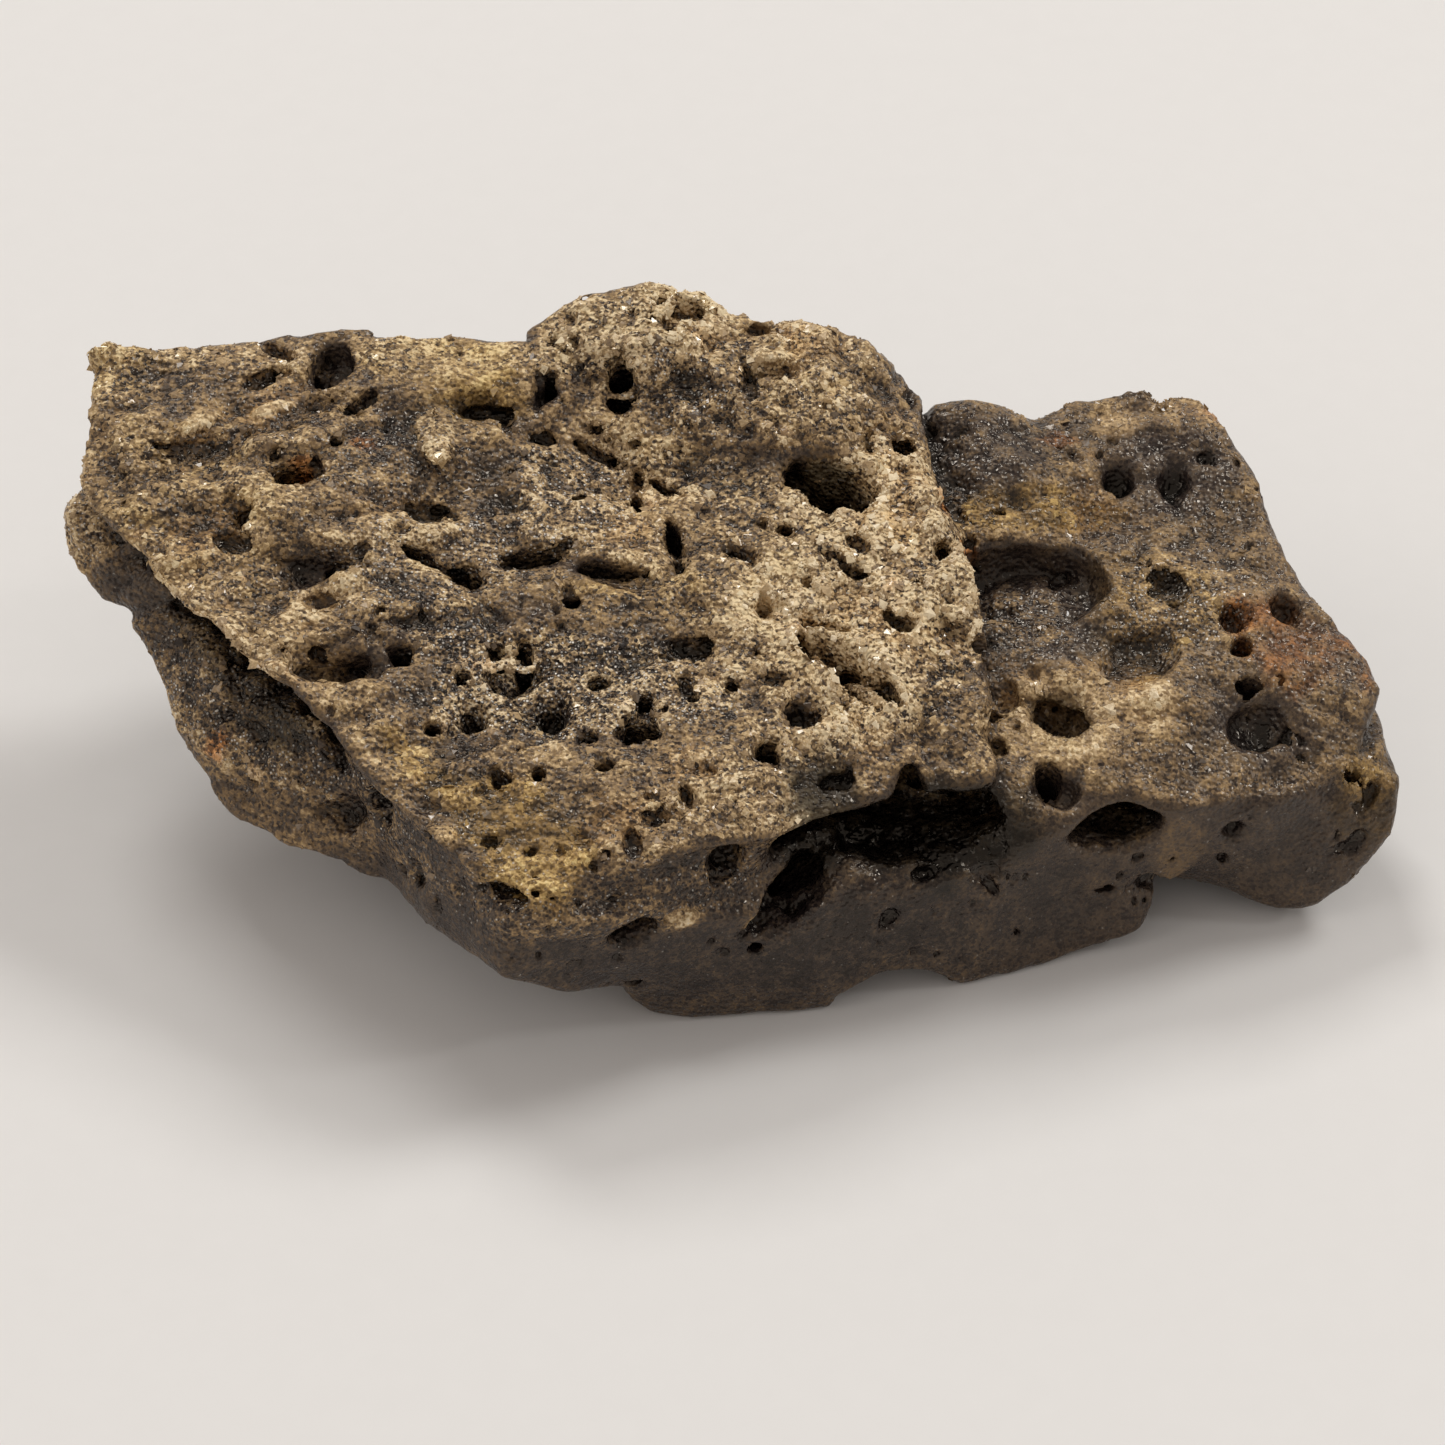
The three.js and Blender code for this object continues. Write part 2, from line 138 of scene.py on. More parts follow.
CORNERS = ((-1, -1), (1, -1), (1, 1), (-1, 1))
floor_mesh = bpy.data.meshes.new("floor")
floor_mesh.from_pydata([(x * FLOOR_REACH, y * FLOOR_REACH, 0) for x, y in CORNERS], [], [(0, 1, 2, 3)])
floor = bpy.data.objects.new("floor", floor_mesh)
scene.collection.objects.link(floor)
floor_paint, tree = shader("matt_white_board")
board = put(tree, "ShaderNodeTexCoord").outputs["Object"]
mottling = put(tree, "ShaderNodeTexNoise", {"Vector": board, "Scale": FLOOR_MOTTLING, "Detail": 2})
principled = tree.nodes["Principled BSDF"]
tree.links.new(mix(mottling.outputs["Fac"], *FLOOR_COLOURS), principled.inputs["Base Color"])
principled.inputs["Roughness"].default_value = FLOOR_ROUGHNESS
floor_mesh.materials.append(floor_paint)

# ---------------------------------------------------------------------------------------------------------
# The glass fragment: one piece of natural glass, frothed by gas while it was molten. A sandy crust covers its
# top, and bubbles burst on every side. It is shaped in a volume of small cells, grown from the fragment's
# solid, and all lengths here are millimetres until the mesh is made.
CELL = 0.12
HALF_BAND = 10  # cells of measured distance on each side of the surface
FAR = 6  # spare cells round the solid
ROUNDING = 3  # passes of smoothing that take off the solid's facets
MOST_TRIANGLES = 196000
TINY = 1e-6  # keeps a division from failing

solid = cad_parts["impact_glass"].data
solid.calc_loop_triangles()
corners = np.empty(3 * len(solid.vertices), np.float32)
solid.vertices.foreach_get("co", corners)
faces = np.empty(3 * len(solid.loop_triangles), np.int32)
solid.loop_triangles.foreach_get("vertices", faces)
shell = openvdb.FloatGrid.createLevelSetFromPolygons(
    corners.reshape(-1, 3) / MM, triangles=faces.reshape(-1, 3).astype(np.uint32),
    transform=openvdb.createLinearTransform(CELL), halfWidth=HALF_BAND)
first, last = (np.array(end) for end in shell.evalActiveVoxelBoundingBox())
origin = first - FAR
rock = np.full(last - first + 1 + 2 * FAR, HALF_BAND * CELL, np.float32)
shell.copyToArray(rock, ijk=tuple(int(i) for i in origin))


def soften(field, passes):
    """The field with each cell averaged with its neighbours, once for each pass."""
    for _ in range(passes):
        for axis in range(3):
            field = (np.roll(field, 1, axis) + 2 * field + np.roll(field, -1, axis)) / 4
    return field


def soften_widely(field, passes):
    """As many passes of smoothing, made on a field of cells twice as large."""
    wide = soften(soften(field, 1)[::2, ::2, ::2], passes // 4)
    for axis in range(3):
        wide = np.repeat(wide, 2, axis).take(range(field.shape[axis]), axis)
    return soften(wide, 1)


def ripple(points, size, seed):
    """Smooth noise from -1 to 1 with lumps of about that size, between random values on a turned lattice."""
    repeat = 64  # a power of two
    dice = np.random.default_rng(seed)
    turn = np.linalg.qr(dice.normal(size=(3, 3)))[0].astype(np.float32)
    table = dice.uniform(-1, 1, (repeat,) * 3).astype(np.float32)
    spot = points @ turn / np.float32(size) + np.float32(8 * repeat)
    cell = np.floor(spot).astype(np.int32)
    part = spot - cell
    part = part * part * (3 - 2 * part)
    (x, y, z), (u, v, w) = (cell & repeat - 1).T, part.T
    x1, y1, z1 = (cell + 1 & repeat - 1).T
    low = table[x, y, z] * (1 - u) + table[x1, y, z] * u
    high = table[x, y1, z] * (1 - u) + table[x1, y1, z] * u
    near = low * (1 - v) + high * v
    low = table[x, y, z1] * (1 - u) + table[x1, y, z1] * u
    high = table[x, y1, z1] * (1 - u) + table[x1, y1, z1] * u
    return near * (1 - w) + (low * (1 - v) + high * v) * w


def step(low, high, value):
    """Rises smoothly from zero at the low end to one at the high end."""
    t = np.clip((value - low) / (high - low), 0, 1)
    return t * t * (3 - 2 * t)


def band(field, reach):
    """The cells within reach of the surface, and their places."""
    cells = np.flatnonzero(np.abs(field) < reach)
    spots = np.stack(np.unravel_index(cells, field.shape), 1)
    return cells, ((spots + origin) * CELL).astype(np.float32)


# Broad relief: the facets give way to uneven lumps, folds and, along the left of the crust, the flow's thin
# layers. The broken faces under the crust stay calmer.
BENDS = [(1.3, 0.20), (0.55, 0.08)]  # size of each bend and how far it carries the surface
BEND_LOSS = 0.8  # share of a bend out of the surface, not along it, that is taken away
LUMPS = [(2.6, 0.14), (1.3, 0.10)]  # size and depth
RUGGED = [(1.5, 0.17), (0.8, 0.13), (0.42, 0.08)]  # lumps parted by sharp creases
CREASE = 2.2  # the higher, the narrower the creases
LEVEL = 0.55  # taken off each rugged lump, so that it goes in as much as out
LAYER_SIZE = np.array([3.4, 0.7, 0.5], np.float32)
LAYER_TURN = math.radians(14)
LAYER_DEPTH = 0.22
FLOW_FADES = (-5.0, 3.0)  # the flow draws the texture out at the left and fades between these places
UPWARD = (0.1, 0.6)  # how far a place faces up before it counts as the top
BLOCK_EDGE = (8, 10)  # the calmer block at the right begins between these places
BLOCK_CALM = 0.35
STRAIGHT_CALM = 0.6  # at the crust's straight back edge
SMOOTH_PATCH = (-9.6, 8.4), (2.6, 1.3)  # its middle and reach, seen from above
SMOOTH_CALM = 0.7
RIDGE = (7.3, 0.23)  # where the crust's right edge crosses the middle, and how it leans
RIDGE_BREAKS = 0.4


def mound(points, middle, reach):
    """Seen from above, one at the middle and falling away within the reach."""
    across, over = ((points[:, i] - middle[i]) / reach[i] for i in (0, 1))
    return np.exp(-(across ** 2 + over ** 2))


def sway(points, size, seed):
    """Three ripples, one for each axis."""
    return np.stack([ripple(points, size, seed + axis) for axis in range(3)], 1)


def turned(points, angle, stretch=1.0):
    """The points in a frame turned by that angle about the vertical, stretched along its first axis."""
    x, y, z = points.T
    return np.stack([(x * math.cos(angle) + y * math.sin(angle)) * stretch,
                     y * math.cos(angle) - x * math.sin(angle), z], 1)


def rise(field, axis, passes):
    """How steeply the field rises along an axis, smoothed."""
    return soften((np.roll(field, -1, axis) - np.roll(field, 1, axis)) / (2 * CELL), passes)


def sample(field, places):
    """The field's value between its cells."""
    spot = places / np.float32(CELL) - origin.astype(np.float32)
    spot = np.clip(spot, 0, np.array(field.shape) - 1.01)
    cell = spot.astype(np.int32)
    part = spot - cell
    total = 0
    for i in (0, 1):
        for j in (0, 1):
            for k in (0, 1):
                share = (part[:, 0] if i else 1 - part[:, 0]) * (part[:, 1] if j else 1 - part[:, 1])
                share = share * (part[:, 2] if k else 1 - part[:, 2])
                total = total + share * field[cell[:, 0] + i, cell[:, 1] + j, cell[:, 2] + k]
    return total


rock = soften(rock, ROUNDING)
cells, places = band(rock, 0.6)
bend = np.zeros_like(places)
for number, (size, carry) in enumerate(BENDS):
    bend += carry * sway(places, size, 40 + 3 * number)
out = np.stack([rise(rock, axis, 2).ravel()[cells] for axis in range(3)], 1)
out /= np.linalg.norm(out, axis=1, keepdims=True) + TINY
bend -= BEND_LOSS * (bend * out).sum(1, keepdims=True) * out
rock.ravel()[cells] = sample(rock, places + bend)

facing_up = rise(rock, 2, 6)
topside = step(*UPWARD, facing_up.ravel()[cells])
relief = sum(depth * ripple(places, size, 10 + i) for i, (size, depth) in enumerate(LUMPS))
bent = turned(places + 1.5 * bend, LAYER_TURN, 0.5 + 0.4 * step(*FLOW_FADES, places[:, 0]))
for number, (size, depth) in enumerate(RUGGED):
    relief += depth * (np.minimum(CREASE * np.abs(ripple(bent, size, 20 + number)), 1) - LEVEL)

straight = step(8.2, 9.4, places[:, 1]) * step(-1.6, -3.2, places[:, 0])
ridge = np.exp(-(places[:, 0] - RIDGE[0] + RIDGE[1] * places[:, 1]) ** 2) * step(-7, -5, places[:, 1])
outer = np.maximum(step(5, 9, places[:, 1]), step(-8, -12, places[:, 0]))  # the back and the left
uneven = np.maximum(topside, 0.15 + 0.25 * outer)
strength = np.maximum(uneven, ridge) * (1 - STRAIGHT_CALM * straight)
relief *= strength * (1 - SMOOTH_CALM * mound(places, *SMOOTH_PATCH))
relief *= 1 - BLOCK_CALM * step(*BLOCK_EDGE, places[:, 0])
relief += RIDGE_BREAKS * ridge * ripple(places, 1.3, 60)
leftward = step(-3, -11, places[:, 0]) * topside
relief += LAYER_DEPTH * leftward * ripple(turned(places, LAYER_TURN) / LAYER_SIZE, 1.0, 27)
rock.ravel()[cells] -= relief

# Hollows and lumps with a place of their own, by the side that they are seen from. Each row is the place
# across and up that side, the length, width and depth, and the turn of the length in degrees. What has a
# negative depth stands out.
SIDES = {
    "top": ((0, 0, 1), (1, 0, 0), (0, 1, 0)),
    "front": ((0, -1, 0), (1, 0, 0), (0, 0, 1)),
    "left": ((-1, 0, 0), (0, 1, 0), (0, 0, 1)),
}
FEATURES = {
    "top": [
        # raised: a knob at the back edge, the corner's spike, flakes of the crust, the smooth patch with
        # its tongue, and the rims of bubbles
        (-13.0, 9.5, 2.2, 1.4, -0.55, 0), (-21.2, 9.6, 0.8, 0.5, -0.6, 0),
        (-17.4, 6.8, 2.1, 0.8, -0.30, 42), (-15.2, 7.1, 1.9, 0.8, -0.28, 30),
        (-9.9, 8.9, 4.2, 1.8, -0.25, -4), (-9.7, 6.2, 1.3, 3.2, -0.25, 8),
        (-12.9, -0.4, 3.0, 1.6, -0.16, 10), (-14.3, 4.7, 2.1, 1.2, -0.16, 8),
        (10.7, -2.9, 3.0, 2.4, -0.22, 0), (-3.6, 8.5, 1.5, 1.5, -0.15, 0), (-7.1, -1.9, 2.2, 1.5, -0.12, 0),
        # creases
        (-6.5, 1.9, 2.4, 0.35, 0.6, 6), (-3.8, 1.4, 3.0, 0.35, 0.6, -8), (2.6, -1.7, 1.3, 0.35, 1.0, -66),
        (3.2, -1.0, 1.6, 0.4, 0.5, -20), (4.0, -2.1, 1.0, 0.4, 1.3, -30), (5.2, -3.3, 1.4, 0.4, 1.3, -50),
        (-10.1, 1.6, 2.0, 0.5, 0.6, -24), (-2.0, 4.8, 3.6, 0.35, 0.35, -34),
        (-4.4, 6.2, 3.0, 0.35, 0.35, -30), (-12.6, -2.3, 3.0, 0.5, 1.0, -6),
        # the uneven edge of the crust above the block at the right
        (5.9, 6.2, 1.1, 0.8, 0.8, -40), (6.5, 4.1, 1.4, 1.2, -0.3, 0), (7.1, 1.9, 0.9, 1.1, 1.0, 0),
        (7.5, -0.1, 1.4, 1.2, -0.3, 0), (8.3, -1.2, 0.7, 0.7, 0.9, 0), (8.6, -2.6, 0.9, 0.8, 0.6, 0),
        (8.8, -4.0, 0.6, 0.7, 0.8, 0),
        # the deep middles of the larger burst bubbles, and the smaller ones round them
        (-13.3, 8.8, 0.5, 0.5, 0.7, 0), (-14.3, 4.7, 1.2, 0.6, 1.0, 8), (-3.6, 8.5, 0.9, 1.0, 1.7, 0),
        (2.9, 5.2, 3.5, 1.05, 2.8, -17), (-1.8, 2.9, 0.4, 1.0, 1.6, 28), (1.9, 2.8, 0.6, 0.6, 0.9, 0),
        (-8.5, 1.2, 1.3, 0.5, 1.4, -24), (-3.0, 4.2, 0.4, 1.1, 0.8, 8), (-5.1, 0.0, 0.6, 0.5, 0.8, 0),
        (-7.5, -1.8, 0.9, 0.8, 1.4, 10), (-6.6, -1.9, 0.7, 1.0, 1.4, 10), (-4.1, -2.9, 0.7, 0.5, 1.2, 0),
        (-8.6, -2.7, 0.5, 0.45, 0.7, 0), (-10.6, -2.0, 0.9, 0.45, 1.3, 0), (-11.8, -2.3, 0.6, 0.4, 0.6, 0),
        (-2.7, -3.7, 0.8, 0.45, 1.4, 0), (-2.8, -4.6, 1.4, 0.7, 1.8, -12), (-1.1, -3.8, 0.5, 0.5, 1.0, 0),
        (0.2, -3.2, 0.45, 0.6, 1.3, 20), (-6.0, -6.4, 0.5, 0.45, 0.9, 0), (1.3, -5.3, 0.9, 0.5, 1.6, 18),
        (1.2, 0.0, 0.6, 0.5, 1.2, -25), (-3.9, -6.4, 0.7, 0.5, 0.6, 20), (-9.5, -4.6, 0.6, 0.5, 0.7, 0),
        (-5.9, 8.4, 0.5, 0.5, 1.2, 0), (-13.0, 5.5, 0.5, 0.4, 0.5, 0),
        # shallow bowls with brown floors, and the pit inside the ring
        (-16.2, 1.9, 1.5, 0.9, 0.35, -10), (-9.9, 3.3, 1.9, 1.0, 0.35, -12), (3.9, 1.3, 1.9, 0.6, 0.4, -32),
        (-1.2, -1.6, 1.7, 0.8, 0.35, 10), (5.6, -0.8, 1.5, 0.8, 0.35, -30),
        (-12.2, 7.2, 1.7, 0.6, 0.35, 40), (1.6, 8.0, 1.6, 0.9, 0.4, 0), (-1.3, 10.2, 1.2, 0.9, 0.4, 0),
        (11.0, -2.7, 2.9, 2.6, 0.9, 0), (-15.6, 8.4, 1.5, 0.7, 0.3, 35), (-7.9, 7.4, 2.0, 0.9, 0.4, -5),
        (3.6, -6.1, 1.4, 0.6, 0.4, 20),
        # the block at the right
        (17.0, 0.2, 0.8, 0.9, 1.0, 0), (17.2, -1.2, 1.0, 0.6, 1.2, 10), (10.4, -4.8, 0.8, 0.8, 1.4, -30),
        (20.6, -3.2, 0.8, 0.5, 0.7, 0), (8.3, -0.2, 1.4, 1.6, 0.4, 0), (14.6, 2.4, 1.4, 1.6, 0.4, 0),
        (9.2, 5.0, 0.5, 0.3, 0.5, 0),
    ],
    "front": [
        # the cave under the lip, then the long bubbles and small ones
        (6.3, 5.6, 6.4, 2.6, 4.6, -2), (3.6, 6.5, 4.4, 1.2, 3.2, 6), (12.7, 4.9, 2.9, 0.9, 2.4, 0),
        (2.2, 4.7, 2.6, 0.7, 2.2, 32), (-3.0, 5.4, 1.5, 0.7, 1.6, 8), (0.9, 3.4, 0.5, 0.5, 0.6, 0),
        (12.4, 2.6, 0.7, 0.35, 0.5, 0), (14.6, 3.4, 0.4, 0.3, 0.4, 0),
        # raised flakes
        (-1.3, 5.4, 1.2, 0.5, -0.3, 32), (1.2, 4.6, 1.0, 0.4, -0.3, 38),
    ],
    "left": [
        # bubbles of the left face
        (-5.7, 6.6, 0.6, 1.2, 1.0, 0), (-4.8, 5.1, 0.5, 0.8, 0.7, 0), (-7.4, 5.0, 0.5, 0.6, 0.5, 0),
        (-3.4, 5.0, 0.5, 0.4, 0.5, 0),
    ],
}
SUNK = 0.3  # share of a hollow's half height that its middle lies under the surface
DENT_DEPTH = 0.25  # how far dents bend the outline of a hollow or lump, as a share of its size
FIXED_DENTS = 0.06


def meet(side, across, up):
    """Where a line coming in from a side first meets the surface."""
    out, along, over = (np.array(way) for way in SIDES[side])
    axis = int(np.abs(out).argmax())
    at = across * along + up * over
    line = np.round(at / CELL).astype(int) - origin
    column = rock[tuple(slice(None) if i == axis else line[i] for i in range(3))]
    inside = np.flatnonzero(column < 0)
    if not len(inside):
        return None
    at = at.astype(float)
    at[axis] = (inside[-1 if out[axis] > 0 else 0] + origin[axis]) * CELL
    return at


def shape(centre, ways, halves, raised=False, dented=DENT_DEPTH):
    """Cuts an ellipsoid with those three ways and half sizes out of the rock, or adds one to it."""
    reach = max(halves) * 1.15 + 4 * CELL  # with room for the dents
    low = np.maximum(np.floor((centre - reach) / CELL).astype(int) - origin, 0)
    high = np.minimum(np.ceil((centre + reach) / CELL).astype(int) - origin + 1, rock.shape)
    if (low >= high).any():
        return
    box = tuple(slice(a, b) for a, b in zip(low, high))
    grid = np.stack(np.meshgrid(*(np.arange(a, b) for a, b in zip(low, high)), indexing="ij"), -1)
    places = ((grid + origin) * CELL).astype(np.float32)
    local = (places - centre) @ np.array(ways).T / halves
    near = np.linalg.norm(local, axis=-1) + TINY
    near = near + dented * dents[box]
    gap = near * (near - 1) / (np.linalg.norm(local / halves, axis=-1) + TINY)
    rock[box] = np.minimum(rock[box], gap) if raised else np.maximum(rock[box], -gap)


dents = np.zeros(rock.shape, np.float32)  # what makes the wall of each hollow uneven
cells, places = band(rock, 1.1)
dents.ravel()[cells] = ripple(places, 0.75, 97) + 0.5 * ripple(places, 0.38, 98)

# Lumps that are added before the rest: the recess's rising floor, the corner and its spike, the left tip, and
# the block beside the crack. Each row is the middle, the three half sizes and the turn in degrees.
FIXED = [
    (10.4, 2.7, 5.9, 3.7, 3.4, 1.8, 0), (-20.3, 9.6, 11.95, 1.25, 0.5, 0.48, 0),
    (-20.75, 8.6, 11.6, 0.62, 1.9, 0.5, 0), (-20.8, 9.8, 12.3, 0.3, 0.22, 0.3, 0),
    (-21.5, 4.9, 9.3, 0.7, 0.8, 0.6, 0), (4.9, -3.4, 8.2, 1.5, 0.32, 0.7, -44),
]
for x, y, z, along, over, high, turn in FIXED:
    turn = math.radians(turn)
    ways = np.array([(math.cos(turn), math.sin(turn), 0), (-math.sin(turn), math.cos(turn), 0), (0, 0, 1)])
    shape(np.array((x, y, z)), ways, np.array((along, over, high)), True, FIXED_DENTS)
for side, rows in FEATURES.items():
    out, along, over = (np.array(way, float) for way in SIDES[side])
    for across, up, length, width, depth, turn in rows:
        place = meet(side, across, up)
        if place is None:
            continue
        angle = math.radians(turn)
        long = math.cos(angle) * along + math.sin(angle) * over
        short = np.cross(out, long)
        raised = depth < 0
        centre = place - out * (0 if raised else SUNK * depth)
        shape(centre, (long, short, out), np.array([length / 2, width / 2, abs(depth)]), raised)

# Seeded bubbles: small ones all over, mere pocks for the most part. They stay off thin edges, crowd together
# in the foam behind the middle, and are fewer on the smooth patch.
BUBBLES = 1100
SMALLEST = 0.12
SPREAD = 0.24  # how much larger the largest are
RARITY = 5  # the higher, the fewer large ones
BUBBLE_SHAPE = (1.0, 2.2), (0.8, 1.1), (0.5, 1.2)  # the range of each half size, the depth last
BUBBLE_SUNK = 0.2
SMOOTH_CORE = (-9.6, 8.4), (2.4, 1.2)
FOAM = (-2.6, 9.4), (4.0, 3.0)
dice = np.random.default_rng(77)
slope = np.stack(np.gradient(soften(rock, 3)), -1)
skin = np.argwhere((rock <= 0) & (rock > -CELL))
spots = ((skin + origin) * CELL).astype(np.float32)
sharp = soften_widely(rock, 24)[tuple(skin.T)]  # above zero on an edge, below it in a hollow
crowd = 0.5 + 0.9 * ripple(spots, 2.6, 90) + 0.6 * ripple(spots, 1.1, 91) + 1.6 * mound(spots, *FOAM)
crowd = np.clip(crowd, 0.04, None) * (1 - 0.9 * mound(spots, *SMOOTH_CORE)) * step(0.15, 0.05, sharp)
for pick in dice.choice(len(skin), BUBBLES, p=crowd / crowd.sum()):
    size = SMALLEST + SPREAD * dice.random() ** RARITY
    out = slope[tuple(skin[pick])]
    out = out / (np.linalg.norm(out) + TINY)
    long = np.cross(out, dice.normal(size=3))
    long /= np.linalg.norm(long)
    halves = size * np.array([dice.uniform(*ends) for ends in BUBBLE_SHAPE])
    shape(spots[pick] - BUBBLE_SUNK * size * out, (long, np.cross(out, long), out), halves)

# Fine relief: the small unevenness of the crust, weaker on the broken faces and on the smooth patch.
FINE_SIZE = 0.36
FINE_DEPTH = 0.05
cells, places = band(rock, 3.5 * CELL)
uneven = 1 - 0.75 * mound(places, *SMOOTH_CORE)
uneven *= 0.3 + 0.7 * step(*UPWARD, facing_up.ravel()[cells])
rock.ravel()[cells] -= uneven * FINE_DEPTH * ripple(places, FINE_SIZE, 30)

# The lowest points are worn flat where the fragment stands.
heights = (np.arange(rock.shape[2]) + origin[2]) * CELL
rock = np.maximum(rock, -heights.astype(np.float32))

# The mesh: the volume's surface without loose crumbs or sealed bubbles, thinned out where it is flat.
volume = openvdb.FloatGrid(HALF_BAND * CELL)
volume.transform = openvdb.createLinearTransform(CELL)
volume.copyFromArray(np.ascontiguousarray(rock, np.float32), ijk=tuple(int(i) for i in origin))
points, _, quads = volume.convertToPolygons(isovalue=0.0, adaptivity=0.0)


def main_body(total, quads):
    """The quads of the largest connected surface, found by passing the lowest label along every edge."""
    label = np.arange(total)
    ends = np.concatenate([quads[:, (i, (i + 1) % 4)] for i in range(4)]).astype(np.int64)
    while True:
        lower = np.minimum(label[ends[:, 0]], label[ends[:, 1]])
        after = label.copy()
        np.minimum.at(after, ends[:, 0], lower)
        np.minimum.at(after, ends[:, 1], lower)
        after = after[after]
        if (after == label).all():
            break
        label = after
    names, totals = np.unique(label[quads[:, 0]], return_counts=True)
    return quads[label[quads[:, 0]] == names[totals.argmax()]]


quads = main_body(len(points), quads)
used, quads = np.unique(quads, return_inverse=True)
quads = quads.reshape(-1, 4)
points = points[used]
a, b, c = (points[quads[:, i]] for i in (0, 1, 2))
if np.einsum("ij,ij->i", a, np.cross(b - a, c - a)).sum() < 0:
    quads = quads[:, ::-1]

mesh = bpy.data.meshes.new("glass_fragment")
mesh.vertices.add(len(points))
mesh.vertices.foreach_set("co", (points * MM).ravel())
mesh.loops.add(quads.size)
mesh.loops.foreach_set("vertex_index", quads.ravel().astype(np.int32))
mesh.polygons.add(len(quads))
mesh.polygons.foreach_set("loop_start", np.arange(0, quads.size, 4, dtype=np.int32))
mesh.update(calc_edges=True)
fragment = bpy.data.objects.new("glass_fragment", mesh)
scene.collection.objects.link(fragment)
thin = fragment.modifiers.new("thin_out", "DECIMATE")
thin.ratio = min(1, MOST_TRIANGLES / (2 * len(quads)))
fragment.data = bpy.data.meshes.new_from_object(fragment.evaluated_get(bpy.context.evaluated_depsgraph_get()))
fragment.modifiers.clear()
mesh = fragment.data
mesh.name = "glass_fragment"
mesh.polygons.foreach_set("use_smooth", np.ones(len(mesh.polygons), bool))

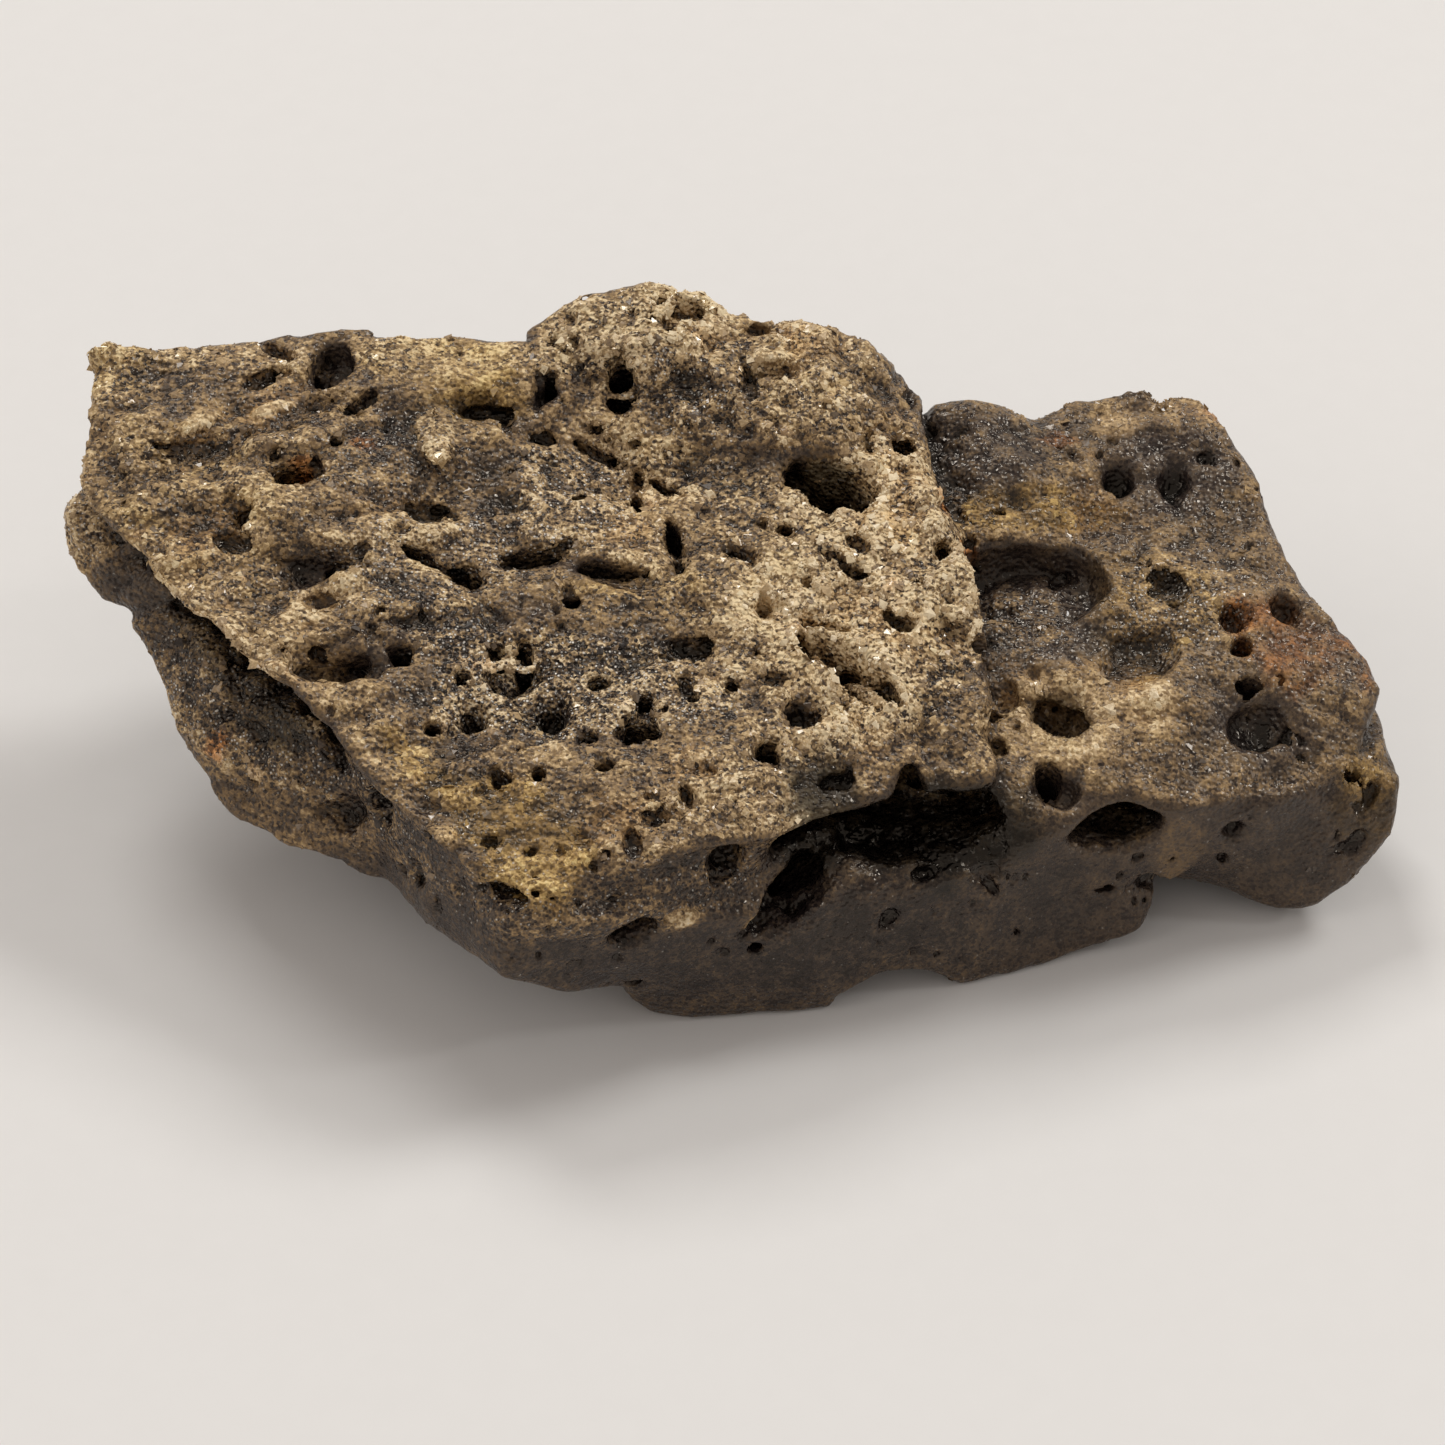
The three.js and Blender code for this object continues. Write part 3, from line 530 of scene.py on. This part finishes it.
# Where the glass shows and where the crust covers it, by what is there, where painted glints crowd, and where
# painted shade darkens the cave and the deepest bubbles. Each row is how much of it there is, the middle of
# the patch, its length and width, the turn of its length in degrees and, for some, its half thickness.
PATCHES = {
    "crust": [
        # sand and froth, thickest on the middle block
        (0.95, 4.0, -0.9, 9.9, 9.0, 15.0, 0), (1.0, 5.9, 1.6, 10.4, 5.0, 12.0, 10),
        (0.8, -1.9, 5.2, 11.1, 7.5, 2.0, -30), (1.0, -2.9, 9.2, 13.6, 8.0, 4.4, 0),
        (0.78, 2.4, 7.8, 12.7, 6.4, 4.6, -10), (0.62, -17.5, 4.3, 11.3, 8.0, 6.2, 10),
        (0.66, -16.4, -1.3, 10.3, 6.0, 5.0, -40), (0.66, -0.9, 1.6, 10.3, 5.0, 3.4, 0),
        (0.75, -0.2, -5.3, 8.8, 4.3, 4.3, 0), (0.75, -20.8, 9.0, 12.1, 2.8, 3.1, 0),
        (0.7, -16.7, 9.4, 12.4, 6.0, 1.2, 0), (0.7, 1.2, -7.8, 8.2, 12.0, 1.6, 4),
        (0.55, 9.6, -3.1, 7.4, 4.2, 3.8, 0), (0.62, 12.4, -2.5, 7.4, 4.4, 3.9, 0),
        (0.6, 10.5, 5.1, 9.2, 5.9, 1.7, 6), (0.36, 19.0, 0.8, 7.3, 5.4, 5.0, 0),
        (0.6, 15.8, 9.6, 9.8, 3.0, 1.6, 0), (0.5, -11.0, -4.0, 9.2, 9.0, 1.4, -42),
        # bare glass, grey to nearly black
        (-0.08, 3.0, -9.6, 3.4, 18.0, 5.0, 2), (0.0, -2.9, -9.8, 5.4, 6.0, 3.0, 0, 1.2),
        (0.28, -19.2, -0.2, 6.0, 3.6, 6.5, -35), (0.56, -21.6, 4.9, 9.4, 2.4, 4.4, 0),
        (0.40, -14.5, -4.6, 5.4, 9.0, 3.0, -42), (0.12, -6.2, -2.6, 9.0, 11.5, 5.4, -14),
        (0.26, -6.0, 4.4, 10.8, 5.4, 5.2, 0), (0.25, -11.5, 5.2, 11.8, 4.4, 3.4, 20),
        (0.3, -17.6, 7.2, 12.1, 3.0, 1.4, 30), (0.24, -8.4, -0.4, 9.9, 7.6, 2.0, -6),
        (0.3, -1.2, 7.2, 12.4, 4.4, 2.6, -24), (0.13, 10.2, 2.0, 7.7, 6.4, 5.0, 0),
        (0.0, -15.2, -2.0, 7.0, 15.0, 3.2, -42), (0.14, 8.2, 7.6, 9.9, 5.2, 3.2, -6),
        (0.12, 14.6, 7.1, 9.2, 4.6, 3.2, 0), (0.1, 17.2, -2.2, 5.9, 4.4, 2.8, 0),
        (0.34, 15.8, 1.6, 8.0, 3.2, 3.2, 0), (0.4, 13.6, 4.4, 8.6, 2.0, 2.6, 0),
        # the smooth golden patch, its tongue and the olive band under the left edge
        (0.95, -9.9, 8.9, 12.3, 5.0, 2.4, -4), (0.8, -9.7, 6.3, 11.8, 1.5, 3.4, 8),
        (0.52, -6.3, -8.9, 7.9, 5.0, 2.4, -48),
        # the floor of the rusty pit
        (0.95, -14.1, 4.85, 10.8, 1.0, 0.5, 10, 1.2),
    ],
    "olive": [
        # olive glass
        (1.0, -6.3, -8.9, 7.9, 6.0, 3.0, -48), (0.7, -9.4, -6.5, 8.4, 5.4, 1.4, -46),
        (0.6, 21.2, -3.7, 4.6, 2.4, 4.3, 0), (0.55, 14.0, 1.6, 8.3, 4.4, 6.0, 0),
        (0.8, 10.5, 5.1, 9.2, 5.7, 1.6, 6), (0.9, -8.2, 7.8, 11.9, 3.0, 1.8, 0),
        (0.5, -9.9, 8.9, 12.3, 5.0, 2.2, 0), (0.35, -17.5, 3.5, 11.3, 8.0, 8.0, 0),
        (0.4, -3.0, 0.2, 9.9, 5.3, 2.3, 0), (0.45, -20.8, 9.0, 12.1, 2.8, 3.1, 0),
    ],
    "pale": [
        # cream flakes and blobs
        (0.9, -17.4, 6.8, 12.1, 2.2, 0.8, 42), (0.9, -15.2, 7.1, 12.0, 2.0, 0.8, 30),
        (0.7, -12.9, -0.4, 10.4, 3.0, 1.6, 10), (0.8, 13.2, 9.1, 9.7, 1.5, 1.5, 0),
        (0.8, 13.9, -2.2, 7.5, 1.8, 2.3, 20), (0.5, 15.1, -5.3, 3.6, 1.8, 0.9, 14),
        (0.45, -3.9, -3.0, 9.1, 4.2, 0.8, -4), (0.25, -9.7, 6.4, 11.8, 1.5, 3.4, 8),
        (0.45, -9.9, 8.9, 12.4, 4.0, 1.6, 0), (0.5, 14.6, 4.2, 8.5, 1.0, 1.6, 20),
        (0.6, 11.0, -2.7, 7.4, 4.0, 3.5, 0, 1.0), (0.0, 11.0, -2.7, 7.0, 2.6, 2.3, 0, 1.2),
        (0.8, -5.6, -5.7, 8.9, 1.4, 1.0, 0), (0.6, -8.6, -7.4, 8.4, 1.2, 0.9, 0),
        (0.5, -9.9, -5.6, 8.7, 1.3, 0.9, 0), (1.6, 1.2, -9.3, 4.6, 1.3, 2.4, 0, 0.45),
        (1.6, -1.3, -9.8, 5.4, 1.3, 2.4, 0, 0.45),
    ],
    "rust": [
        # rusty stains
        (0.55, 18.9, 0.6, 7.3, 5.2, 4.6, 0), (0.7, 11.3, 8.2, 9.7, 1.3, 0.8, 0),
        (0.35, 3.1, -4.6, 8.8, 0.5, 1.0, -30), (1.0, 7.2, 4.5, 9.8, 0.5, 1.0, 0),
        (1.0, 8.0, 3.5, 8.7, 0.7, 0.5, 0), (0.9, -12.1, 5.6, 11.7, 0.9, 0.6, -30),
        (1.0, -14.1, 4.85, 10.8, 1.0, 0.5, 10, 1.2), (0.8, -17.0, -2.5, 6.6, 1.2, 0.8, 0),
        (0.4, 15.8, 9.4, 9.8, 2.4, 1.2, 0),
    ],
    "glassy_glints": [
        # grey glassy glass with clusters of painted glints, bright specks that stand in for sparkles of light
        (1.0, -5.6, -2.9, 8.9, 9.5, 4.4, -10), (0.7, -1.4, 7.2, 12.5, 4.2, 2.6, -24),
        (0.75, -5.2, 4.2, 10.7, 5.0, 5.0, 0), (0.6, -10.0, 1.2, 10.6, 6.7, 4.7, 0),
        (0.6, 15.1, 1.8, 8.2, 4.4, 4.7, 0), (0.7, -0.4, -3.4, 9.1, 2.8, 2.0, 0),
        (0.5, -11.5, 5.2, 11.8, 4.4, 3.4, 0), (0.5, 9.6, 1.2, 7.4, 3.4, 3.0, 0),
        (0.6, -16.0, -2.0, 6.6, 12.0, 5.0, -42), (0.6, -21.6, 4.9, 9.4, 2.4, 4.4, 0),
        (0.4, -3.4, -9.9, 6.3, 10.0, 3.4, 6, 1.3), (0.5, -9.6, -7.4, 6.6, 9.0, 2.4, -45, 1.6),
    ],
    "painted_deep_shade": [
        # painted shade: colour darkened nearly to black inside the cave under the lip and the deepest
        # bubbles, where shade falls
        (1.0, 6.2, -6.0, 5.9, 7.0, 4.8, 0), (1.0, 2.6, -6.6, 6.7, 4.0, 3.4, 0),
        (0.95, 3.0, 5.3, 9.7, 4.2, 2.2, -17, 1.5), (0.65, 11.0, -2.7, 6.6, 2.7, 2.4, 0, 1.0),
        (0.9, 12.6, -4.4, 5.0, 3.0, 2.4, 0), (0.85, -15.0, -2.2, 7.4, 4.4, 1.5, -42),
        (0.6, -16.9, 0.2, 7.5, 5.5, 1.6, -52),
    ],
}
THINNEST, THICKNESS_GROWTH, THICKEST = 0.4, 0.9, 1.7  # half thickness of the patches without one of their own

count = len(mesh.vertices)
places = np.empty(3 * count, np.float32)
mesh.vertices.foreach_get("co", places)
places = places.reshape(-1, 3) / np.float32(MM)
normals = np.empty(3 * count, np.float32)
mesh.vertex_normals.foreach_get("vector", normals)
normals = normals.reshape(-1, 3)
nearest = tuple(np.clip(np.round(places / CELL).astype(int) - origin, 0, np.array(rock.shape) - 1).T)
bulge = soften(rock, 4)
broad_bulge = soften_widely(bulge, 26)[nearest]
fine_bulge = np.clip(bulge[nearest] / 0.05, -1, 1)
hollow = step(0.02, -0.30, broad_bulge)
broad_bulge = np.clip(broad_bulge / 0.16, -1, 1)

level = places[:, 2] + 0.35 * places[:, 1] + 0.12 * np.abs(places[:, 0]) + 1.6  # above the rim of the crust
topside = step(0.35, 0.80, facing_up[nearest]) * step(5.0, 6.5, level)
coat = {  # what there is outside all patches, everywhere and, in addition, on the top
    "crust": 0.08 + 0.42 * topside,
    "olive": 0.10 + 0.12 * topside,
    "pale": np.zeros(count),
    "rust": np.zeros(count),
    "glassy_glints": 0.12 + 0.10 * topside,
    "painted_deep_shade": np.zeros(count),
}
edge = 0.30 * ripple(places, 1.3, 50) + 0.16 * ripple(places, 0.5, 51)
for kind, rows in PATCHES.items():
    for amount, x, y, z, length, width, turn, *high in rows:
        high = high[0] if high else min(THICKEST, THINNEST + THICKNESS_GROWTH * max(length, width))
        along, over, up = turned(places - np.array([x, y, z], np.float32), math.radians(turn)).T
        far = np.sqrt((along / (length / 2)) ** 2 + (over / (width / 2)) ** 2 + (up / high) ** 2)
        share = step(1.3, 0.75, far + edge)
        coat[kind] = coat[kind] * (1 - share) + amount * share


# One tone runs from nearly black glass, at 0, to cream crust, at 1. Mottling and streaks of the flow push it
# up and down, and painted light follows the height of each place above its surroundings: painted highlights
# on bulges, painted shade in dips.
BARE_TONE, CRUST_TONE = 0.15, 0.485
MOTTLE_TONE, STREAK_TONE, DRIFT_TONE, PAINTED_RELIEF_LIGHT_TONE = 0.18, 0.28, 0.17, 0.12
PALE_TONE, OLIVE_TONE, GLINT_TONE, THREAD_TONE = 0.30, 0.06, 0.22, 0.09
EVEN_PLACES = [(1.0, (-9.6, 8.2), (2.6, 1.4)), (0.9, (-6.6, -8.6), (2.4, 1.3))]
RECESS = (10.3, 2.4), (3.2, 2.4)  # lit from above, so it is shaded less than other hollows
THREADS = (2.3, 2.75, 3.6)  # heights of the dark threads that run along the lower front face
THREAD_WIDTH = 0.12
FLOW_TURN = math.radians(-20)
FLOW_SPAN = 64  # millimetres that the flow attribute takes from 0 to 1


def layers(points, size, seed, count=3):
    """Ripples added up, each of half the size and half the strength of the one before."""
    total = sum(ripple(points, size / 2 ** i, seed + i) / 2 ** i for i in range(count))
    return total / (2 - 2 ** (1 - count))


def attribute(mesh, name, *parts):
    """Up to four values from 0 to 1 for each vertex."""
    layer = mesh.attributes.new(name, "FLOAT_COLOR", "POINT")
    values = np.zeros((len(mesh.vertices), 4), np.float32)
    for i, part in enumerate(parts):
        values[:, i] = np.clip(part, 0, 1)
    layer.data.foreach_set("color", values.ravel())


mottle = layers(places, 0.9, 110)
drift = layers(places, 2.8, 115, 2)
flow = places + 0.9 * sway(places, 3.4, 150) + 0.22 * sway(places, 0.8, 130)
flow = turned(flow, FLOW_TURN, 0.32 + 0.58 * step(*FLOW_FADES, places[:, 0]))
streak = layers(flow, 0.55, 120)
even = sum(share * mound(places, middle, reach) for share, middle, reach in EVEN_PLACES)
liveliness = 0.14 + 0.86 * np.maximum(coat["crust"], coat["glassy_glints"])
liveliness = liveliness * (1 - BLOCK_CALM * step(*BLOCK_EDGE, places[:, 0])) * (1 - 0.5 * even)
tones = MOTTLE_TONE * mottle + STREAK_TONE * streak + DRIFT_TONE * drift
tones = BARE_TONE + CRUST_TONE * coat["crust"] + liveliness * tones
# painted light: lighter on bulges and darker in dips, as light and shade fall on the relief
painted_relief_light = (0.25 + 0.75 * liveliness) * (PAINTED_RELIEF_LIGHT_TONE * broad_bulge + PAINTED_RELIEF_LIGHT_TONE * fine_bulge)
tones += painted_relief_light + PALE_TONE * coat["pale"] + OLIVE_TONE * coat["olive"]
tones += GLINT_TONE * coat["glassy_glints"] * np.maximum(fine_bulge, 0)
thread_height = places[:, 2] - 0.30 * places[:, 0] + 0.12 * ripple(places, 1.5, 140)
forward, rightward = step(-6.5, -8.0, places[:, 1]), step(1.0, 2.5, places[:, 0])
for height in THREADS:
    tones -= THREAD_TONE * np.exp(-((thread_height - height) / THREAD_WIDTH) ** 2) * forward * rightward
# painted shade: darker in hollows, where shade falls, less in the lit recess and not on rust or pale flakes,
# darkest in the painted deep shade patches
shaded = hollow * (1 - coat["rust"]) * (1 - 0.8 * mound(places, *RECESS))
shades = 1 - 0.9 * np.maximum(shaded, coat["painted_deep_shade"]) * (1 - np.clip(coat["pale"], 0, 1))
olives = step(0.15, 0.85, coat["olive"] + 0.3 * streak)
rusts = step(0.30, 0.85, coat["rust"] + 0.7 * mottle)
browns = step(0.0, 0.6, 0.7 * drift - 0.4 * broad_bulge) * step(0.15, 0.6, coat["crust"])
# the tone attribute carries the tone with its painted relief light, and the painted shade in its third
# channel
attribute(mesh, "tone", tones, liveliness, shades, coat["glassy_glints"])
attribute(mesh, "tint", olives, rusts, browns)
attribute(mesh, "flow", *(flow / FLOW_SPAN + 0.5).T)

# Glass and crust: one glossy to matt surface, with threads, grains and painted glints, bright specks finer
# than the mesh that stand in for sparkles of light, and painted shade in the hollows.
GLASS_TONES = (
    (0.0, (0.010, 0.0068, 0.0064)), (0.18, (0.029, 0.0205, 0.0185)), (0.36, (0.092, 0.0625, 0.041)),
    (0.52, (0.200, 0.127, 0.062)), (0.66, (0.335, 0.216, 0.104)), (0.82, (0.56, 0.385, 0.192)),
    (1.0, (0.87, 0.685, 0.42)))
OLIVE_TINT = (0.95, 0.89, 0.64)
RUST_TINT = (1.22, 0.79, 0.52)
BROWN_TINT = (0.90, 0.70, 0.46)
GLINT_TINT = (0.98, 1.0, 1.06)
# painted glints: the colour of the bright specks that stand in for sparkles of light
PAINTED_GLINT_COLOUR = (0.88, 0.83, 0.74)
GLASS_IOR = 1.5
GLASS_SHINE = 0.45
SHINE_TINT = (1.0, 0.88, 0.74, 1)
THREAD_SIZE = 0.24
THREAD_SHARPNESS = 6.0
THREAD_LIGHT = 0.28  # how far a thread lifts the tone
GRAIN_SIZE = 0.17
GRAIN_CONTRAST = 1.20
SINGLE_SIZE = 0.11  # single grains, each with a tone of its own
SINGLE_CONTRAST, SINGLE_LIGHT = 0.90, -0.12
GLINT_CONTRAST, GLINT_LIGHT = 0.9, 0.05
BROWN_SHARE = 0.6
SPECK_EDGE = 0.45, 0.25  # how far from a grain's middle its speck ends
SPECK_CHANCE = 0.70, 0.82
SPECK_CROWD = 0.25, 0.80
ROUGHNESS = 0.18, 0.58  # of dark glass and of pale crust
GRAIN_ROUGHNESS = 0.3  # how far single grains differ
SPECK_GLOSS = -0.3
BUMP_SIZE = 0.15
BUMP_HEIGHT = 0.20
BUMP_STRENGTH = 0.9
SLEEKEST = 0.12  # the least roughness

glass, tree = shader("bubbly_impact_glass")
principled = tree.nodes["Principled BSDF"]
where = put(tree, "ShaderNodeTexCoord").outputs["Object"]


def channels(name):
    """The four channels of an attribute."""
    node = put(tree, "ShaderNodeAttribute", attribute_name=name)
    colour = put(tree, "ShaderNodeSeparateColor", {"Color": node.outputs["Color"]})
    return (*colour.outputs, node.outputs["Alpha"])


def noise(size, detail, rough=0.6, vector=None, unit=MM):
    """Procedural noise with lumps of about that size."""
    return put(tree, "ShaderNodeTexNoise", {"Vector": vector or where, "Scale": 1 / (size * unit),
                                            "Detail": detail, "Roughness": rough}).outputs["Fac"]


def maths(operation, a, b=0.0, c=0.0, clamp=False):
    """A sum of up to three values."""
    return put(tree, "ShaderNodeMath", {0: a, 1: b, 2: c}, operation=operation, use_clamp=clamp).outputs[0]


def ranged(value, low, high, start=0.0, end=1.0):
    """What runs from the start to the end while the value runs from low to high."""
    return put(tree, "ShaderNodeMapRange", {"Value": value, "From Min": low, "From Max": high,
                                            "To Min": start, "To Max": end}).outputs["Result"]


def ramp(value, stops):
    """A colour that follows the value from stop to stop."""
    node = put(tree, "ShaderNodeValToRGB", {"Fac": value})
    line = node.color_ramp
    while len(line.elements) < len(stops):
        line.elements.new(0.5)
    for element, (at, colour) in zip(line.elements, stops):
        element.position = at
        element.color = (*colour, 1)
    return node.outputs["Color"]


def more(value, amount, total):
    """The total with a share of a noise, counted from its middle."""
    return maths("MULTIPLY_ADD", maths("SUBTRACT", value, 0.5), amount, total)


def tinted(colour, share, tint):
    """The colour multiplied by the tint, as far as the share says."""
    return mix(share, colour, tint, kind="MULTIPLY")


# the tone: the coat's own with its painted relief light, with grains and threads drawn out along the flow,
# and single grains that differ
tone, lively, shade, glassy_glints = channels("tone")
olive, rust, brown, _ = channels("tint")
flow_place = put(tree, "ShaderNodeAttribute", attribute_name="flow").outputs["Vector"]
thread = noise(THREAD_SIZE, 2, 0.65, flow_place, 1 / FLOW_SPAN)
thread = maths("MULTIPLY", maths("ABSOLUTE", maths("SUBTRACT", thread, 0.5)), THREAD_SHARPNESS)
thread = maths("SUBTRACT", 1.0, thread, clamp=True)
grain = noise(GRAIN_SIZE, 2, 0.75, flow_place, 1 / FLOW_SPAN)
grain_cell = put(tree, "ShaderNodeTexVoronoi", {"Vector": where, "Scale": 1 / (SINGLE_SIZE * MM)})
grain_reach = grain_cell.outputs["Distance"]
chances = put(tree, "ShaderNodeSeparateColor", {"Color": grain_cell.outputs["Color"]})
grain_chance, grain_light = chances.outputs[:2]
tone = maths("MULTIPLY_ADD", more(grain, GRAIN_CONTRAST, 0.0), lively, tone)
tone = maths("MULTIPLY_ADD", more(grain_chance, SINGLE_CONTRAST, SINGLE_LIGHT), lively, tone)
tone = maths("MULTIPLY_ADD", maths("MULTIPLY", thread, THREAD_LIGHT), lively, tone)
tone = maths("MULTIPLY_ADD", more(grain_reach, GLINT_CONTRAST, GLINT_LIGHT), glassy_glints, tone)
colour = ramp(tone, GLASS_TONES)
colour = tinted(colour, olive, OLIVE_TINT)
colour = tinted(colour, rust, RUST_TINT)
colour = tinted(colour, maths("MULTIPLY", brown, BROWN_SHARE), BROWN_TINT)
colour = tinted(colour, glassy_glints, GLINT_TINT)

# painted glints, bright specks that stand in for sparkles of light, then the painted shade of the hollows
painted_glint = maths("MULTIPLY", ranged(grain_reach, *SPECK_EDGE), ranged(grain_light, *SPECK_CHANCE))
painted_glint = maths("MULTIPLY", painted_glint, ranged(more(grain, 1.6, glassy_glints), *SPECK_CROWD))
colour = mix(painted_glint, colour, PAINTED_GLINT_COLOUR)
# painted shade: the colour multiplied by the shade channel
painted_shade_grey = put(tree, "ShaderNodeCombineColor", {0: shade, 1: shade, 2: shade}).outputs[0]
tree.links.new(tinted(colour, 1.0, painted_shade_grey), principled.inputs["Base Color"])

# pale crust is matt, dark glass and specks are glossy
rough = more(grain_chance, GRAIN_ROUGHNESS, ranged(tone, 0.1, 0.8, *ROUGHNESS))
rough = maths("MULTIPLY_ADD", painted_glint, SPECK_GLOSS, rough)
tree.links.new(maths("MAXIMUM", rough, SLEEKEST), principled.inputs["Roughness"])
principled.inputs["IOR"].default_value = GLASS_IOR
principled.inputs["Specular IOR Level"].default_value = GLASS_SHINE
principled.inputs["Specular Tint"].default_value = SHINE_TINT
height = maths("MULTIPLY", noise(BUMP_SIZE, 0), maths("ADD", lively, 0.15))
bump = put(tree, "ShaderNodeBump", {"Height": height, "Strength": BUMP_STRENGTH,
                                    "Distance": BUMP_HEIGHT * MM})
tree.links.new(bump.outputs["Normal"], principled.inputs["Normal"])
mesh.materials.clear()
mesh.materials.append(glass)
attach(fragment, "root")
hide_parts("impact_glass")

# ---------------------------------------------------------------------------------------------------------
# The crust's grains: mineral sand that the hot glass picked up and half melted in. Each grain is a small
# crystal with flat faces, sunk to about its middle, and some are flat flakes. They lie thickest where the
# crust is.
GRAIN_COUNT = 22000
FLAKES = 6500  # the first of them
GRAIN_HALF = (0.05, 0.11)
FLAKE_HALF = (0.12, 0.27)
FLATNESS = 0.25
TILT = 0.12
SCATTER = 0.05
GRAIN_SUNK = 0.45  # share of its half size that a grain's middle lies under the surface
UNEVENNESS = (0.6, 1.25)  # how far each corner reaches
GRAIN_BRIGHTER = 0.05
GRAIN_VARIETY = 0.65
SAND_TONES = (
    (0.0, (0.016, 0.0105, 0.008)), (0.25, (0.075, 0.050, 0.031)), (0.45, (0.182, 0.119, 0.063)),
    (0.62, (0.35, 0.232, 0.118)), (0.80, (0.57, 0.402, 0.210)), (1.0, (0.88, 0.73, 0.50)))
SAND_MOTTLE_SIZE = 0.08
SAND_MOTTLE = 0.5
SAND_ROUGHNESS = 0.52, 0.08  # from one grain to another
SAND_OLIVE = (0.98, 0.92, 0.62)
SAND_RUST = (1.18, 0.81, 0.54)
OCTAHEDRON = np.array([(1, 0, 0), (-1, 0, 0), (0, 1, 0), (0, -1, 0), (0, 0, 1), (0, 0, -1)], np.float32)
OCTAHEDRON_FACES = np.array([
    (0, 2, 4), (2, 1, 4), (1, 3, 4), (3, 0, 4), (2, 0, 5), (1, 2, 5), (3, 1, 5), (0, 3, 5)])
dice = np.random.default_rng(501)
thick = step(0.25, 0.75, coat["crust"] + 0.35 * ripple(places, 0.9, 70) + 0.25 * ripple(places, 0.35, 71))
thick = (thick + 0.35 * step(0.3, 0.8, coat["glassy_glints"])) * (1 - hollow) * (1 - np.clip(coat["painted_deep_shade"], 0, 1))
thick *= 1 - 0.8 * mound(places, *SMOOTH_PATCH)
pick = dice.choice(count, GRAIN_COUNT, p=thick / thick.sum())
half = dice.uniform(*GRAIN_HALF, GRAIN_COUNT) * dice.uniform(0.6, 1.0, GRAIN_COUNT)
half[:FLAKES] = dice.uniform(*FLAKE_HALF, FLAKES) * dice.uniform(0.5, 1.0, FLAKES)
squash = np.where(np.arange(GRAIN_COUNT) < FLAKES, FLATNESS, 1.0)[:, None]
outward = normals[pick] + dice.normal(0, TILT, (GRAIN_COUNT, 3))
outward /= np.linalg.norm(outward, axis=1, keepdims=True)
shift = dice.normal(0, SCATTER, (GRAIN_COUNT, 3))
shift -= (shift * normals[pick]).sum(1, keepdims=True) * normals[pick]
middle = places[pick] + shift - GRAIN_SUNK * half[:, None] * squash * normals[pick]
turns = np.linalg.qr(dice.normal(size=(GRAIN_COUNT, 3, 3)))[0]
turns[np.linalg.det(turns) < 0] *= -1
crystal = OCTAHEDRON[None] * dice.uniform(*UNEVENNESS, (GRAIN_COUNT, 6, 1)) * half[:, None, None]
crystal = np.einsum("nij,nvj->nvi", turns, crystal)
crystal -= (1 - squash[:, None]) * (crystal @ outward[:, :, None]) * outward[:, None]
crystal += middle[:, None]
sand_faces = (np.arange(GRAIN_COUNT)[:, None, None] * 6 + OCTAHEDRON_FACES[None]).reshape(-1, 3)
sand_mesh = bpy.data.meshes.new("crust_grains")
sand_mesh.from_pydata((crystal.reshape(-1, 3) * MM).tolist(), [], sand_faces.tolist())
sand = bpy.data.objects.new("crust_grains", sand_mesh)
scene.collection.objects.link(sand)

luck = dice.random(GRAIN_COUNT)
# each grain takes the tone beneath it, painted relief light included
sand_tones = tones[pick] + GRAIN_BRIGHTER + GRAIN_VARIETY * liveliness[pick] * (luck - 0.5)
attribute(sand_mesh, "coat", *(np.repeat(part, 6) for part in (sand_tones, olives[pick], luck, rusts[pick])))

sand_paint, tree = shader("half_melted_sand")
principled = tree.nodes["Principled BSDF"]
where = put(tree, "ShaderNodeTexCoord").outputs["Object"]
tone, olive, chance, rust = channels("coat")
colour = ramp(more(noise(SAND_MOTTLE_SIZE, 2), SAND_MOTTLE, tone), SAND_TONES)
colour = tinted(colour, olive, SAND_OLIVE)
colour = tinted(colour, rust, SAND_RUST)
tree.links.new(colour, principled.inputs["Base Color"])
tree.links.new(ranged(chance, 0.0, 1.0, *SAND_ROUGHNESS), principled.inputs["Roughness"])
sand_mesh.materials.append(sand_paint)
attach(sand, "root")
